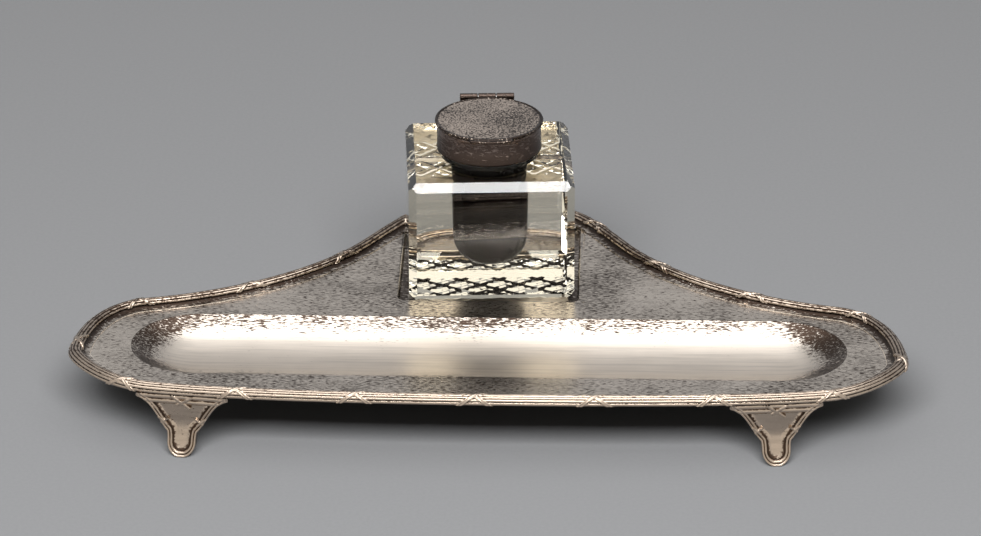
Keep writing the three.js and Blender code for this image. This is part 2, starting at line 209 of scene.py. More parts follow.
class Nodes:
    """A material and short ways to add to its node tree."""

    def __init__(self, name):
        self.material = bpy.data.materials.new(name)
        self.material.use_nodes = True
        self.tree = self.material.node_tree
        self.shader = self.tree.nodes["Principled BSDF"]
        self.place = self.add("ShaderNodeTexCoord").outputs["Object"]

    def add(self, kind, **values):
        node = self.tree.nodes.new(kind)
        for key, value in values.items():
            setattr(node, key, value)
        return node

    def link(self, value, socket):
        if hasattr(value, "is_output"):
            self.tree.links.new(value, socket)
        else:
            socket.default_value = value

    def set(self, **sockets):
        for key, value in sockets.items():
            self.link(value, self.shader.inputs[key.replace("_", " ")])

    def stretched(self, x=1.0, y=1.0, z=1.0):
        node = self.add("ShaderNodeMapping")
        node.inputs["Scale"].default_value = (x, y, z)
        self.link(self.place, node.inputs["Vector"])
        return node.outputs["Vector"]

    def noise(self, scale, detail=3.0, rough=0.55, place=None, distortion=0.0):
        node = self.add("ShaderNodeTexNoise")
        self.link(place or self.place, node.inputs["Vector"])
        node.inputs["Scale"].default_value = scale
        node.inputs["Detail"].default_value = detail
        node.inputs["Roughness"].default_value = rough
        node.inputs["Distortion"].default_value = distortion
        return node.outputs["Fac"]

    def ramp(self, value, *stops):
        """A value through a ramp of (position, number or colour) stops."""
        node = self.add("ShaderNodeValToRGB")
        self.link(value, node.inputs["Fac"])
        ramp = node.color_ramp
        while len(ramp.elements) < len(stops):
            ramp.elements.new(0.5)
        for element, (position, colour) in zip(ramp.elements, stops):
            element.position = position
            if isinstance(colour, (int, float)):
                colour = (colour, colour, colour)
            element.color = (*colour, 1)
        return node.outputs["Color"]

    def math(self, operation, a, b=0.0, c=0.0):
        node = self.add("ShaderNodeMath", operation=operation)
        for value, socket in zip((a, b, c), node.inputs):
            self.link(value, socket)
        return node.outputs[0]

    def mix(self, factor, a, b, blend="MIX"):
        node = self.add("ShaderNodeMix", data_type="RGBA", blend_type=blend)
        self.link(factor, node.inputs["Factor"])
        for value, socket in ((a, node.inputs[6]), (b, node.inputs[7])):
            self.link((*value, 1) if isinstance(value, tuple) else value, socket)
        return node.outputs[2]

    def attribute(self, name):
        return self.add("ShaderNodeAttribute", attribute_name=name).outputs["Fac"]

    def bump(self, height, distance, strength=1.0, normal=None):
        node = self.add("ShaderNodeBump")
        node.inputs["Strength"].default_value = strength
        node.inputs["Distance"].default_value = distance
        self.link(height, node.inputs["Height"])
        if normal is not None:
            self.link(normal, node.inputs["Normal"])
        return node.outputs["Normal"]


# Heights of a surface's fine and coarse unevenness, in metres.
SURFACE_RELIEF = 0.00001
COARSE_RELIEF = 0.0002

CLOUD_WEIGHT = 0.34
EDGE_SOFTNESS = 0.04
PIT_BLACK = (0.05, 0.04, 0.035)


def darker(colour, share):
    return tuple(share * channel for channel in colour)


def tarnished_silver(name, bright, brown, shine, dull, fine, stretch, cover):
    """Silver with brown tarnish in fine dashes and with black pits.

    There is more tarnish, and darker, where grime is above 0. Where it is below 0 the silver is rubbed:
    there is less tarnish and the shine is softer. shine and dull are the roughness of the silver and of
    the tarnish, fine is the scale of the dashes' noise, stretch shapes the dashes and cover sets how much
    of the silver they take.
    """
    n = Nodes(name)
    dashes = n.noise(fine, 4, 0.62, n.stretched(*stretch), 0.15)
    clouds = n.noise(38, 3, 0.6)
    pits = n.noise(950, 4, 0.65)
    grime = n.attribute("grime")
    uneven = n.math("MULTIPLY_ADD", clouds, CLOUD_WEIGHT, dashes)
    worn = n.math("MULTIPLY_ADD", grime, -0.3, uneven)
    middle = 0.42 + CLOUD_WEIGHT * cover
    clean = n.ramp(worn, (middle - EDGE_SOFTNESS, 0.0), (middle + EDGE_SOFTNESS, 1.0))
    black = n.ramp(n.math("MULTIPLY_ADD", grime, -0.12, pits), (0.27, 1.0), (0.33, 0.0))
    film = n.mix(n.ramp(clouds, (0.35, 0.0), (0.7, 1.0)), darker(brown, 0.7), brown)
    film = n.mix(n.ramp(grime, (0.4, 0.0), (1.0, 0.85)), film, darker(brown, 0.12))
    streaks = n.noise(700, 3, 0.6, n.stretched(0.04, 1.0, 1.0))
    patchy = n.mix(n.ramp(clouds, (0.3, 0.0), (0.7, 1.0)), darker(bright, 0.88), bright)
    brushed = n.mix(n.ramp(streaks, (0.3, 0.55), (0.55, 0.0)), patchy, darker(bright, 0.66))
    colour = n.mix(clean, film, brushed)
    n.set(Metallic=1.0, Base_Color=n.mix(black, colour, PIT_BLACK))
    rubbed = n.math("MULTIPLY", n.math("MINIMUM", grime, 0.0), -0.2)
    n.set(Roughness=n.math("ADD", n.ramp(clean, (0.0, dull), (1.0, shine)), rubbed))
    scratches = n.noise(260, 2, 0.5, n.stretched(0.03, 1.0, 1.0))
    pitted = n.bump(worn, SURFACE_RELIEF, 0.5)
    n.set(Normal=n.bump(scratches, SURFACE_RELIEF, 0.2, pitted))
    return n.material


def cut_glass():
    """Clear old glass, a little yellow, with hair scratches and a faint ripple."""
    n = Nodes("cut_glass")
    n.set(Base_Color=(0.955, 0.905, 0.765, 1), Transmission_Weight=1.0, IOR=1.5)
    hairs = n.noise(1.0, 2, 0.5, n.stretched(14, 14, 900))
    scratch = n.ramp(hairs, (0.72, 0.0), (0.73, 1.0))
    smudge = n.noise(60, 3)
    n.set(Roughness=n.ramp(smudge, (0.4, 0.0), (0.8, 0.03)))
    rippled = n.bump(n.noise(90, 1), SURFACE_RELIEF, 0.2)
    n.set(Normal=n.bump(scratch, SURFACE_RELIEF, 0.05, rippled))
    return n.material


def dried_ink(name):
    """The black ink that coats the inside of the well."""
    n = Nodes(name)
    runs = n.noise(160, 4, 0.6, n.stretched(1, 1, 0.25))
    n.set(Base_Color=n.ramp(runs, (0.35, (0.001, 0.0008, 0.001)), (0.75, (0.004, 0.003, 0.003))))
    n.set(Roughness=n.ramp(runs, (0.3, 0.16), (0.8, 0.4)), Specular_IOR_Level=0.02)
    n.set(Normal=n.bump(runs, COARSE_RELIEF, 0.25))
    return n.material


def plaster():
    """The rough pale plaster that holds the collar to the neck."""
    n = Nodes("neck_plaster")
    grain = n.noise(900, 4, 0.6)
    n.set(Base_Color=n.ramp(grain, (0.3, (0.42, 0.37, 0.28)), (0.7, (0.68, 0.62, 0.5))), Roughness=0.9)
    n.set(Normal=n.bump(grain, COARSE_RELIEF, 0.6))
    return n.material


def pale_floor():
    """Grey paper, paler further out."""
    n = Nodes("pale_floor")
    distance = n.add("ShaderNodeVectorMath", operation="LENGTH")
    n.link(n.place, distance.inputs[0])
    far = n.ramp(n.math("MULTIPLY", distance.outputs["Value"], 0.25), (0.12, 0.064), (0.75, 0.5))
    fibres = n.ramp(n.noise(900, 2), (0.3, 0.97), (0.7, 1.03))
    n.set(Base_Color=n.mix(1.0, n.mix(1.0, far, (0.985, 0.995, 1.02), "MULTIPLY"), fibres, "MULTIPLY"))
    n.set(Roughness=0.9, Specular_IOR_Level=0.0)
    return n.material


TRAY_SILVER = tarnished_silver(
    "tray_silver", (0.84, 0.755, 0.665), (0.075, 0.05, 0.037), 0.24, 0.32, 2900, (0.2, 0.9, 1.0), 0.61
)
BORDER_SILVER = tarnished_silver(
    "border_silver", (0.58, 0.475, 0.385), (0.12, 0.078, 0.055), 0.16, 0.32, 1300, (0.6, 0.6, 1.0), 0.6
)
COLLAR_SILVER = tarnished_silver(
    "collar_silver", (0.26, 0.2, 0.172), (0.14, 0.102, 0.086), 0.2, 0.28, 1500, (0.35, 0.35, 1.2), 0.5
)
LID_SILVER = tarnished_silver(
    "lid_silver", (0.84, 0.7, 0.59), (0.05, 0.036, 0.03), 0.22, 0.3, 1750, (1.0, 1.0, 1.0), 0.64
)
PIN_STEEL = tarnished_silver(
    "pin_steel", (0.56, 0.54, 0.52), (0.25, 0.2, 0.17), 0.28, 0.5, 1200, (1.0, 1.0, 1.0), 0.4
)
GLASS = cut_glass()
WELL_STAIN = dried_ink("well_stain")
INK = dried_ink("ink_pool")
PLASTER = plaster()


# ---- the tray's edge ----

class Edge:
    """The closed edge line of the tray, measured along its length from the middle of the front."""

    def __init__(self, steps_a_curve=400):
        t = np.linspace(0, 1, steps_a_curve, endpoint=False)[:, None]
        right = np.concatenate([self.curve(np.array(p, float), t) for p in EDGE])
        last = np.array([EDGE[-1][-1]], float)
        left = right[:0:-1] * [-1, 1]
        self.points = np.concatenate([right, last, left, right[:1]])
        steps = np.linalg.norm(np.diff(self.points, axis=0), axis=1)
        self.along = np.concatenate([[0], np.cumsum(steps)])
        self.length = self.along[-1]

    @staticmethod
    def curve(p, t):
        """Points on a cubic Bezier."""
        u = 1 - t
        return u**3 * p[0] + 3 * u * u * t * p[1] + 3 * u * t * t * p[2] + t**3 * p[3]

    def place(self, s):
        s = np.mod(s, self.length)
        return np.stack([np.interp(s, self.along, self.points[:, i]) for i in (0, 1)], 1)

    def at(self, s):
        """Points and inward normals at distances s along the edge."""
        reach = 0.6
        ahead = self.place(s + reach) - self.place(s - reach)
        tangent = ahead / np.linalg.norm(ahead, axis=1)[:, None]
        return self.place(s), np.stack([-tangent[:, 1], tangent[:, 0]], 1)

    def ring(self, s, inset, z):
        """Points at one height, all as far in from the edge."""
        points, normals = self.at(s)
        return np.concatenate([points + inset * normals, np.full((len(s), 1), z)], 1)


LINE = Edge()


# ---- tray ----

END_GRIME = 0.5
EDGE_GRIME = 0.8
RECESS_GRIME = 0.35
UNDER_GLASS_GRIME = -0.35
BOWL_GRIME = -0.7
ROLL_GRIME = -0.8

# How far in from the glass's sides the recess's floor turns from tarnished to rubbed: the rings of points
# on either side of the change, and where it is.
RUBBED_RINGS = (0.4, 1.0)
RUBBED_INSET = 0.9


def stadium(half_straight, radius, z, sides=48):
    """A ring of points round the trough: two straight sides and two half circles."""
    angles = np.radians(np.linspace(-90, 90, sides))
    right = np.stack([half_straight + radius * np.cos(angles), TROUGH_Y + radius * np.sin(angles)], 1)
    both = np.concatenate([right, 2 * np.array([0, TROUGH_Y]) - right])
    return np.concatenate([both, np.full((len(both), 1), z)], 1)


def rounded_square(half, corner, z, steps=10):
    """A ring of points round the recess."""
    points = []
    for quarter in range(4):
        turn = quarter * 90
        middle = Matrix.Rotation(math.radians(turn), 2) @ Vector((half - corner, half - corner))
        points += arc(middle, corner, turn, turn + 90, steps)
    return np.array([(RECESS_X + x, BOTTLE_Y + y, z) for x, y in points])


def trough_rings():
    """From the flat over a small rolled edge and down the round bowl to the middle."""
    straight = TROUGH_HALF_LENGTH - TROUGH_HALF_WIDTH
    curve = (TROUGH_HALF_WIDTH**2 + TROUGH_DEPTH**2) / (2 * TROUGH_DEPTH)
    steepest = math.asin(TROUGH_HALF_WIDTH / curve)
    roll = 1.3
    rings = [stadium(straight, TROUGH_HALF_WIDTH + roll * math.sin(steepest) + FLAT_MARGIN, FLAT_Z)]
    for angle in np.linspace(0, steepest, 7):
        reach = TROUGH_HALF_WIDTH + roll * (math.sin(steepest) - math.sin(angle))
        rings.append(stadium(straight, reach, FLAT_Z - roll * (1 - math.cos(angle))))
    edge_z = rings[-1][0][2]
    for angle in np.linspace(steepest, 0, 26)[1:]:
        drop = curve * (math.cos(angle) - math.cos(steepest))
        rings.append(stadium(straight, curve * math.sin(angle), edge_z - drop))
    return rings


def recess_rings():
    """From the flat over a small rolled edge, down the wall and in over the floor."""
    corner, depth, roll = 2.5, 1.5, 0.45
    floor_corner, foot_round = 2.0, 0.3
    margin = roll + FLAT_MARGIN
    rings = [rounded_square(RECESS_HALF + margin, corner + margin, FLAT_Z)]
    for x, z in arc((roll, -roll), roll, 90, 180, 6):
        rings.append(rounded_square(RECESS_HALF + x, corner + x, FLAT_Z + z))
    rings.append(rounded_square(RECESS_HALF, corner, FLAT_Z - depth + foot_round))
    for half in (RECESS_HALF - foot_round, *(GLASS_HALF - inset for inset in RUBBED_RINGS)):
        rings.append(rounded_square(half, floor_corner, FLAT_Z - depth))
    return rings


def rim_rings(s):
    """From under the border in over the flange and the cavetto to the flat, with its scribed line."""
    flange_end, cavetto_width, cavetto_power, step = 3.7, 2.5, 2.2, 0.14
    flat_start, line_depth = 6.6, 0.05
    profile = [(0.05, FLANGE_Z), (2.0, FLANGE_Z), (flange_end, FLANGE_Z)]
    for share in np.linspace(0, 1, 12)[1:]:
        rise = (FLANGE_Z - FLAT_Z - step) * (1 - share) ** cavetto_power
        profile.append((flange_end + cavetto_width * share, FLAT_Z + step + rise))
    profile += [(flat_start - 0.26, FLAT_Z + step - 0.02), (flat_start - 0.18, FLAT_Z - line_depth)]
    profile += [(flat_start - 0.1, FLAT_Z - line_depth), (flat_start, FLAT_Z)]
    profile.append((flat_start + FLAT_MARGIN, FLAT_Z))
    return [LINE.ring(s, inset, z) for inset, z in profile]


def tray_grime(vertices):
    """More tarnish at the trough's ends, against the border and in the recess.

    The trough's rolled edge, its bowl and the floor under the bottle are rubbed.
    """
    x, y, z = vertices.T
    front = y < 0
    distance = np.hypot(np.maximum(np.abs(x) - TROUGH_HALF_LENGTH + TROUGH_HALF_WIDTH, 0), y - TROUGH_Y)
    inside = distance < TROUGH_HALF_WIDTH + 0.5
    ends = fade(np.abs(x), 80, 18) * fade(distance, 8, 8) * inside
    edge = fade(z, FLAT_Z, 0.5)
    under_glass = np.maximum(np.abs(x - RECESS_X), np.abs(y - BOTTLE_Y)) < GLASS_HALF - RUBBED_INSET
    floor = np.where(under_glass, UNDER_GLASS_GRIME, RECESS_GRIME)
    recess = np.where((z < FLAT_Z - 0.3) & ~front, floor, 0.0)
    bowl = fade(-z, 1.2 - FLAT_Z, 2) * front * (1 - ends)
    roll = (z < FLAT_Z - 0.01) & (z > FLAT_Z - 0.16) & front & ~inside
    return np.maximum(END_GRIME * ends, EDGE_GRIME * edge) + recess + BOWL_GRIME * bowl + ROLL_GRIME * roll


def tray_sheet():
    """The tray's one sheet: its rim, its trough and its recess, with the flat filled in between them."""
    count = 900
    s = np.linspace(0, LINE.length, count, endpoint=False)
    outer = rim_rings(s)
    vertices = np.concatenate(outer)
    faces = grid_faces(len(outer), count, closed_columns=True)
    loops = [list(range(count * (len(outer) - 1), count * len(outer)))]
    trough, recess = trough_rings(), recess_rings()
    for rings in (trough, recess):
        size = len(rings[0])
        faces += shifted(grid_faces(len(rings), size, closed_columns=True), len(vertices))
        loops.append(list(range(len(vertices), len(vertices) + size)))
        vertices = np.concatenate([vertices, *rings])
    faces.append(tuple(range(len(vertices) - len(recess[-1]), len(vertices))))
    order = [i for loop in loops for i in loop]
    for triangle in tessellate_polygon([[Vector(vertices[i]) for i in loop] for loop in loops]):
        faces.append(tuple(order[i] for i in triangle))
    sheet = build("tray_sheet", vertices, faces, "tray", TRAY_SILVER, grime=tray_grime(vertices))
    thick = sheet.modifiers.new("sheet", "SOLIDIFY")
    thick.thickness = SHEET * MM
    thick.offset = -1
    stands_for("tray_plate")


# ---- border ----

CROSSINGS = 18
FIRST_CROSSING = -3.1
BORDER_REEDS = 6
REED_HEIGHT = 0.22
POINTS_A_REED = 8
RIBBON_HALF_WIDTH = 0.62
RIBBON_LIFTS = {1: 0.46, -1: 0.34}
RIBBON_REACH = 4.4


def border_section():
    """Points and outward normals across the border's arched section, from the outer foot inwards."""
    crown, inner_half, foot_z, shoulder_z, top = 2.35, 1.55, 18.95, 19.9, 21.15
    outer = arc((0, 0), 1, 180, 90, 60)
    inner = arc((0, 0), 1, 90, 0, 40)
    points = [(crown + crown * x, foot_z + (top - foot_z) * y) for x, y in outer]
    points += [(crown + inner_half * x, shoulder_z + (top - shoulder_z) * y) for x, y in inner[1:]]
    points = np.array(points)
    along = np.concatenate([[0], np.cumsum(np.linalg.norm(np.diff(points, axis=0), axis=1))])
    across = np.linspace(0, along[-1], POINTS_A_REED * BORDER_REEDS + 1)
    section = np.stack([np.interp(across, along, points[:, i]) for i in (0, 1)], 1)
    ahead = np.gradient(section, axis=0)
    ahead /= np.linalg.norm(ahead, axis=1)[:, None]
    return section, np.stack([-ahead[:, 1], ahead[:, 0]], 1), across


def ribbon_height(offset, across, width):
    """Height over the section of two crossed ribbons, at distances along from the crossing."""
    side_width, crease_depth, crease_width = 0.18, 0.12, 0.16
    slope = width / 2 / RIBBON_REACH
    height = np.zeros(np.broadcast(offset, across).shape)
    for side, lift in RIBBON_LIFTS.items():
        off = (across - width / 2 - side * slope * offset) / math.hypot(1, slope)
        band = np.clip((RIBBON_HALF_WIDTH - np.abs(off)) / side_width, 0, 1)
        crease = crease_depth * np.exp(-((off / crease_width) ** 2))
        height = np.maximum(height, band * (lift - crease))
    return height


def border_stations(start, end, gap):
    """Distances along the edge between two ends, close together where the ribbons cross."""
    plain_step, ribbon_step, ribbon_half = 1.5, 0.2, 5.5
    s = [np.arange(start, end, plain_step), [end]]
    for middle in FIRST_CROSSING + gap * np.arange(-CROSSINGS, 2 * CROSSINGS):
        s.append(np.arange(middle - ribbon_half, middle + ribbon_half, ribbon_step))
    s = np.concatenate(s)
    return np.unique(np.round(s[(s >= start) & (s <= end)], 3))


def border_grime(height, y):
    """Tarnish between the reeds and none on their tops. There is more of it away from the tray's front."""
    away = 0.55 * fade(y, -62, 20)
    return 0.9 - 1.6 * np.clip(height / REED_HEIGHT, 0, 1) + away


def border_length(side, start, end):
    """One length of the border: reeds with crossed ribbons over them, closed underneath."""
    section, normals, across = border_section()
    width = across[-1]
    gap = LINE.length / CROSSINGS
    s = border_stations(start, end, gap)
    offset = np.mod(s - FIRST_CROSSING + gap / 2, gap) - gap / 2
    ridges = REED_HEIGHT * reeds(across / width, BORDER_REEDS)[None, :]
    height = np.maximum(ridges, ribbon_height(offset[:, None], across[None, :], width))
    points, inward = LINE.at(s)
    inset = section[None, :, 0] + height * normals[None, :, 0]
    z = section[None, :, 1] + height * normals[None, :, 1]
    xy = points[:, None, :] + inset[:, :, None] * inward[:, None, :]
    top = np.concatenate([xy, z[:, :, None]], 2)
    seat = LINE.ring(s, section[-1][0], FLANGE_Z - 0.1)[:, None]
    under = LINE.ring(s, 0.1, section[0][1] - 0.05)[:, None]
    rows = np.concatenate([top, seat, under], 1)
    columns = rows.shape[1]
    vertices = rows.reshape(-1, 3)
    faces = grid_faces(len(s), columns, closed_columns=True)
    faces.append(tuple(range(columns)))
    faces.append(tuple(range(len(vertices) - columns, len(vertices))))
    grime = np.full((len(s), columns), 0.5)
    grime[:, :len(across)] = border_grime(height, xy[..., 1])
    border = build(f"border_{side}_reeds", vertices, faces, "tray", BORDER_SILVER, 60, grime)
    stands_for(f"border_{side}")


# ---- feet ----

FOOT_HALF_TOP = 14
FOOT_TOP_Z = 18.8
FOOT_THICK = 1.8
FOOT_INSET = 2.2
TOE_RADIUS = 4.4
SOLE_HALF = 1.0
KICK_FROM_Z = 11
KICK_REACH = 3.9
KICK_POWER = 1.6

# The ribbons on a foot's face, each from one point to another: two crossed below its top edge, and two
# crossed at either side of its ankle, given for one side.
TOP_RIBBONS = [((-3.2, 18.6), (2.6, 14.6)), ((3.4, 18.4), (-1.6, 15.6))]
ANKLE_RIBBONS = [((4.0, 11.2), (7.0, 9.2)), ((4.4, 9.0), (7.2, 11.4))]

# Tarnish by the relief's height: rubbed in the hollow and on the ridges, dark where they meet.
RELIEF_HEIGHTS = [-0.55, -0.2, 0.0, 0.15, 0.4]
RELIEF_GRIME = [-0.45, 0.1, 0.9, 0.2, -0.8]
BACK_GRIME = 0.6


def bezier(points, steps):
    t = np.linspace(0, 1, steps)[:, None]
    return Edge.curve(np.array(points, float), t)


def foot_outline():
    """Half widths and heights down one side of a foot, from its top corner to its sole."""
    shoulder_z = FOOT_TOP_Z - 1.3
    toe_z = math.sqrt(TOE_RADIUS**2 - SOLE_HALF**2)
    sole_angle = math.degrees(math.asin(SOLE_HALF / TOE_RADIUS))
    ankle = (4.7, 7.2)
    flare = bezier([(FOOT_HALF_TOP, shoulder_z), (9.4, shoulder_z - 0.9), (7.6, 10), ankle], 60)
    toe_side = bezier([ankle, (4.5, 6.7), (4.4, 5.5), (TOE_RADIUS, toe_z)], 16)
    side = [(FOOT_HALF_TOP, z) for z in np.linspace(FOOT_TOP_Z, shoulder_z, 8)]
    side += [tuple(point) for point in (*flare[1:], *toe_side[1:])]
    side += arc((0, toe_z), TOE_RADIUS, 0, -90 + sole_angle, 40)[1:]
    return np.array(side)


def ribbon(u, z, start, end, half_width, lift):
    """Height of a straight ribbon between two points of a foot's face."""
    a, b = np.array(start, float), np.array(end, float)
    length = np.linalg.norm(b - a)
    along = ((u - a[0]) * (b - a)[0] + (z - a[1]) * (b - a)[1]) / length
    off = ((u - a[0]) * (b - a)[1] - (z - a[1]) * (b - a)[0]) / length
    band = np.clip((half_width - np.abs(off)) / 0.2, 0, 1)
    return lift * band * ((along > 0) & (along < length))


def laid_over(height, raised):
    """A relief with raised work over it, unchanged wherever there is none of that work."""
    return np.where(raised > 0, np.maximum(height, raised), height)


def distance_to(line, u, z):
    """Distances from points to the nearest part of a line."""
    distance = np.full(u.shape, 1e9)
    for (x0, z0), (x1, z1) in zip(line[:-1], line[1:]):
        dx, dz = x1 - x0, z1 - z0
        share = np.clip(((u - x0) * dx + (z - z0) * dz) / (dx * dx + dz * dz + 1e-12), 0, 1)
        distance = np.minimum(distance, np.hypot(u - x0 - share * dx, z - z0 - share * dz))
    return distance


def foot_relief(u, z, outline):
    """Height of a foot's face over its plain plate: a reeded rim, top reeds, ribbons and a hollow."""
    rim, rim_height = 1.7, 0.5
    hollow_slope, hollow_depth = 1.6, 0.55
    top_band, top_height = 3.0, 0.42
    distance = distance_to(np.concatenate([outline, outline[::-1] * [-1, 1]]), u, z)
    height = np.where(distance < rim, rim_height * reeds(np.clip(distance / rim, 0, 1), 2), 0)
    inside = fade(distance, rim, hollow_slope)
    height = height - hollow_depth * inside * inside * (3 - 2 * inside)
    below_top = FOOT_TOP_Z - z
    top_reeds = top_height * reeds(np.clip(below_top / top_band, 0, 1), 2)
    height = np.where(below_top < top_band, np.maximum(height, top_reeds), height)
    for start, end in TOP_RIBBONS:
        height = laid_over(height, ribbon(u, z, start, end, 0.55, 0.75))
    for side in (-1, 1):
        for start, end in ANKLE_RIBBONS:
            height = laid_over(height, ribbon(side * u, z, start, end, 0.45, 0.7))
    return height


def foot(name, share):
    """A bracket foot with a relief on its face, that kicks forward towards its toe."""
    outline = foot_outline()
    columns = 141
    across = np.linspace(-1, 1, columns)
    u = outline[:, :1] * across[None, :]
    z = np.repeat(outline[:, 1:], columns, 1)
    relief = foot_relief(u, z, outline)
    kick = KICK_REACH * np.clip(1 - z / KICK_FROM_Z, 0, 1) ** KICK_POWER
    back = FOOT_INSET - kick
    edge_round = 0.3 * fade(np.abs(across), 0.97, 0.03)[None, :]
    front = back - FOOT_THICK - relief + edge_round
    origin, inward = LINE.at(np.array([share * LINE.length]))
    tangent = np.array([inward[0][1], -inward[0][0]])
    rows = len(outline)
    sheets = []
    for inset in (front, back):
        xy = origin[0] + u[..., None] * tangent + inset[..., None] * inward[0]
        sheets.append(np.concatenate([xy, z[..., None]], 2).reshape(-1, 3))
    vertices = np.concatenate(sheets)
    size = rows * columns
    faces = grid_faces(rows, columns) + shifted(grid_faces(rows, columns), size)
    rim = [r * columns for r in range(rows)] + [(rows - 1) * columns + c for c in range(1, columns)]
    rim += [r * columns + columns - 1 for r in range(rows - 2, -1, -1)] + list(range(columns - 2, 0, -1))
    for i, a in enumerate(rim):
        b = rim[(i + 1) % len(rim)]
        faces.append((a, b, b + size, a + size))
    face_grime = np.interp(relief, RELIEF_HEIGHTS, RELIEF_GRIME).ravel()
    grime = np.concatenate([face_grime, np.full(size, BACK_GRIME)])
    piece = build(f"foot_{name}_cast", vertices, faces, "tray", BORDER_SILVER, 50, grime)
    stands_for(f"foot_{name}")


# ---- glass bottle ----

# Two fields of grooves cross on the base in a lattice, with a smooth band between y = 1.5 and y = 12.5.
GROOVE_PITCH = 2.8
GROOVE_DEPTHS = (0.23, 0.31, 0.56)
PLAIN_BAND = (1.5, 12.5)
CUT_GLASS_ANGLE = 22

WELL = {"radius": 12, "floor_radius": 11.6, "floor_z": 24, "corner": 9.5, "shoulder_z": 55}
NECK = {"foot_radius": 15.2, "foot_round": 0.5, "radius": 13.8, "bore": 11, "bevel": 0.4}


def bottled(shape):
    """A shape about the bottle's own axis, moved to where the bottle stands."""
    vertices, faces = shape
    return to_bottle(vertices), faces


def square_block():
    """A square block with bevelled top and base edges and cut upright corners."""
    bottom = GLASS_LOW[2]
    bm = bmesh.new()
    bmesh.ops.create_cube(bm, size=2 * GLASS_HALF)
    for v in bm.verts:
        v.co.z = GLASS_TOP if v.co.z > 0 else bottom

    def cut(point, normal):
        geometry = bm.verts[:] + bm.edges[:] + bm.faces[:]
        made = bmesh.ops.bisect_plane(
            bm, geom=geometry, plane_co=point, plane_no=normal, clear_outer=True, dist=1e-5
        )
        edges = [e for e in made["geom_cut"] if isinstance(e, bmesh.types.BMEdge)]
        bmesh.ops.contextual_create(bm, geom=edges)

    up = Vector((0, 0, 1))
    for quarter in range(4):
        turn = Matrix.Rotation(math.radians(90 * quarter), 3, "Z")
        out = turn @ Vector((1, 0, 0))
        corner = turn @ Vector((1, 1, 0)).normalized()
        inset = out * (GLASS_HALF - GLASS_CUT)
        cut(inset + up * GLASS_TOP, (out + up).normalized())
        cut(inset + up * bottom, (out - up).normalized())
        cut(corner * (2 * GLASS_HALF - GLASS_CUT) / math.sqrt(2), corner)
    vertices = [tuple(v.co) for v in bm.verts]
    faces = [tuple(v.index for v in f.verts) for f in bm.faces]
    bm.free()
    return vertices, faces


def pleat_cutter(turn):
    """A pleated block whose ridges cut a row of straight grooves right across the base."""
    reach = 1.3 * GLASS_HALF * math.sqrt(2)
    overlap, thick = 0.02, 8
    base = GLASS_LOW[2]
    across = np.arange(-reach, reach + 0.01, GROOVE_PITCH / 2)
    count = len(across)
    rise = [base + GROOVE_DEPTHS[i // 2 % 3] if i % 2 else base - overlap for i in range(count)]
    c, s = math.cos(turn), math.sin(turn)
    vertices = []
    for side in (-1, 1):
        end = side * reach
        vertices += [(c * a - s * end, s * a + c * end, z) for a, z in zip(across, rise)]
        vertices += [(c * a - s * end, s * a + c * end, base - thick) for a in across]
    faces = [tuple(range(2 * count, 3 * count)) + tuple(range(4 * count - 1, 3 * count - 1, -1))]
    faces.append(tuple(range(count)) + tuple(range(2 * count - 1, count - 1, -1)))
    for i in range(count - 1):
        faces += [(i, i + 1, 2 * count + i + 1, 2 * count + i)]
        faces += [(count + i, count + i + 1, 3 * count + i + 1, 3 * count + i)]
    for i in (0, count - 1):
        faces.append((i, count + i, 3 * count + i, 2 * count + i))
    return vertices, faces


def plain_slab():
    """Glass that fills the grooves in again over the smooth band across the base."""
    half = GLASS_HALF - GLASS_CUT - 0.3
    low, thick = GLASS_LOW[2] + 0.01, 1.2
    front, back = PLAIN_BAND
    corners = [(-half, front), (half, front), (half, back), (-half, back)]
    vertices = [(x, y, z) for z in (low, low + thick) for x, y in corners]
    return vertices, [(3, 2, 1, 0), (4, 5, 6, 7), (0, 1, 5, 4), (1, 2, 6, 5), (2, 3, 7, 6), (3, 0, 4, 7)]


def well_profile():
    """The round-bottomed well, up through the neck and past its top."""
    corner, floor_z, bore = WELL["corner"], WELL["floor_z"], NECK["bore"]
    floor = arc((WELL["floor_radius"] - corner, floor_z + corner), corner, -90, 0, 20)
    shoulder = [(WELL["radius"], WELL["shoulder_z"]), (WELL["floor_radius"], WELL["shoulder_z"] + 1.2)]
    past_top = GLASS_HIGH[2] + 3.8
    return [(0, floor_z), *floor, *shoulder, (bore, GLASS_TOP), (bore, past_top), (0, past_top)]


def neck_profile():
    """The neck from inside the block to its mouth, with the round glass foot that the collar stands on."""
    inside_z, top_z = 50, GLASS_HIGH[2]
    foot_z = COLLAR_LOW[2] - 0.4
    edge = NECK["foot_round"]
    foot = arc((NECK["foot_radius"] - edge, foot_z - edge), edge, 0, 90, 6)
    mouth = [(NECK["radius"], top_z - NECK["bevel"]), (NECK["radius"] - NECK["bevel"], top_z), (0, top_z)]
    return [(0, inside_z), (NECK["foot_radius"], inside_z), *foot, (NECK["radius"], foot_z), *mouth]


